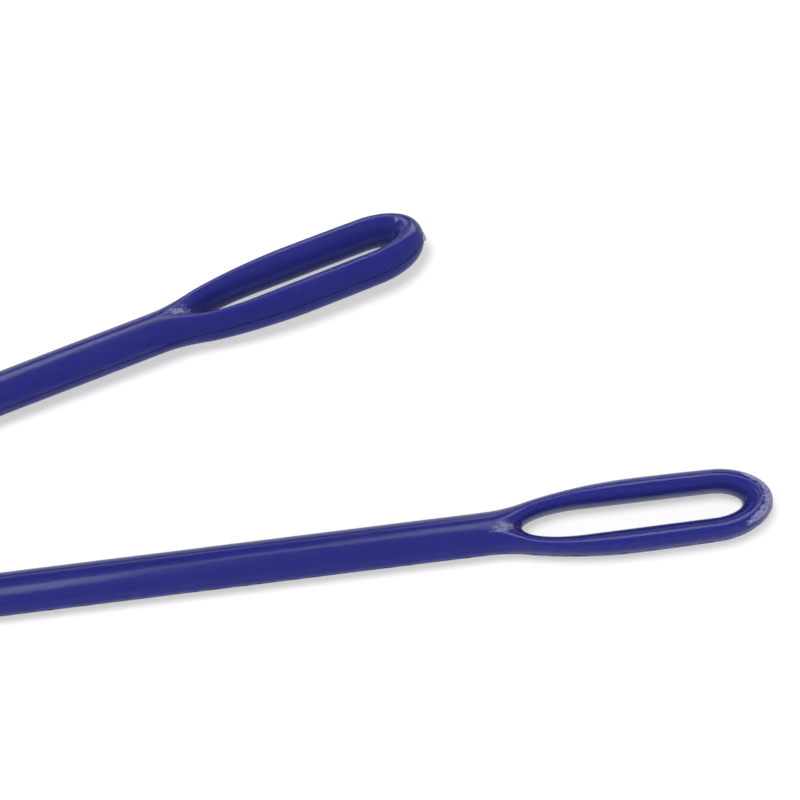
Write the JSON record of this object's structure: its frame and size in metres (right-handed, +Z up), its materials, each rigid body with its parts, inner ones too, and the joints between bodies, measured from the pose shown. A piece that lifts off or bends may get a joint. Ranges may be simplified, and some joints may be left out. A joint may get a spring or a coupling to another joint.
{
  "type": "yarn needle pair",
  "caption": "Moulded plastic yarn needles with a long open eye, a round shank and a tapered blunt point, lying on a table as a loose pair.",
  "frame": {"origin": "middle of the pair's outline, on the table it lies on", "axes": "+X along the front needle towards its eye, +Y across the table towards the back needle, +Z up from the table"},
  "size_m": [0.0856, 0.0224, 0.0036],
  "materials": {
    "blue_plastic": "deep blue injection-moulded plastic, glossy, with fine handling scratches and small moulding marks"
  },
  "bodies": {
    "front": {"front_needle": "blue_plastic"},
    "back": {"back_needle": "blue_plastic"}
  },
  "joints": [
    {"name": "back_needle_lift", "type": "slide", "parent": "front", "child": "back", "axis": [0, 0, 1], "range_m": [0, 0.03]}
  ]
}
